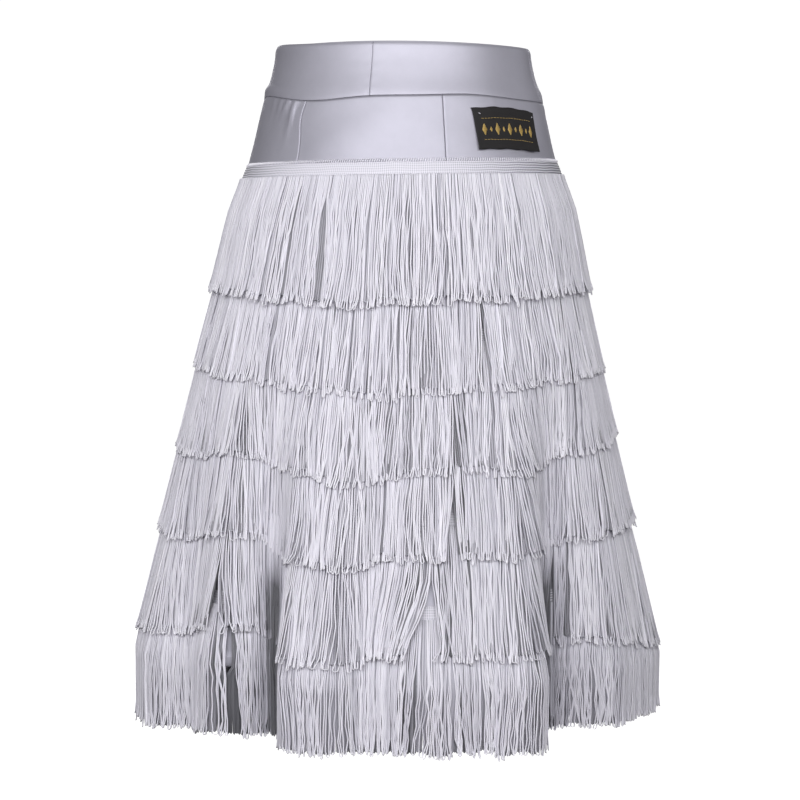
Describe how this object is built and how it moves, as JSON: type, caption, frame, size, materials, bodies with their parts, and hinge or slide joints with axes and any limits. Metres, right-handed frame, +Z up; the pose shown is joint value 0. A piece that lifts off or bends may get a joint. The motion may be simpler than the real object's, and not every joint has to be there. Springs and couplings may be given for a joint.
{
  "type": "latin dance skirt",
  "caption": "Flared dance skirt with a wide shaped waistband, a smooth hip yoke, overlapping tiers of looped fringe and a small woven label.",
  "frame": {"origin": "middle of the waist, half way up the waistband", "axes": "+Z up, front of the skirt towards -Y, the wearer's left towards +X"},
  "size_m": [0.5201, 0.4745, 0.67],
  "materials": {
    "satin": "satin",
    "fringe": "soft sheen",
    "label": "matt weave"
  },
  "bodies": {
    "root": {"waistband_front_right": "satin", "waistband_front_left": "satin", "waistband_back": "satin", "gore_front_centre": "satin", "gore_front_left": "satin", "gore_back_left": "satin", "gore_back_centre": "satin", "gore_back_right": "satin", "gore_front_right": "satin", "fringe_tier_1": "fringe", "fringe_tier_2": "fringe", "fringe_tier_3": "fringe", "fringe_tier_4": "fringe", "fringe_tier_5": "fringe", "fringe_tier_6": "fringe", "woven_label": "label"}
  },
  "joints": []
}
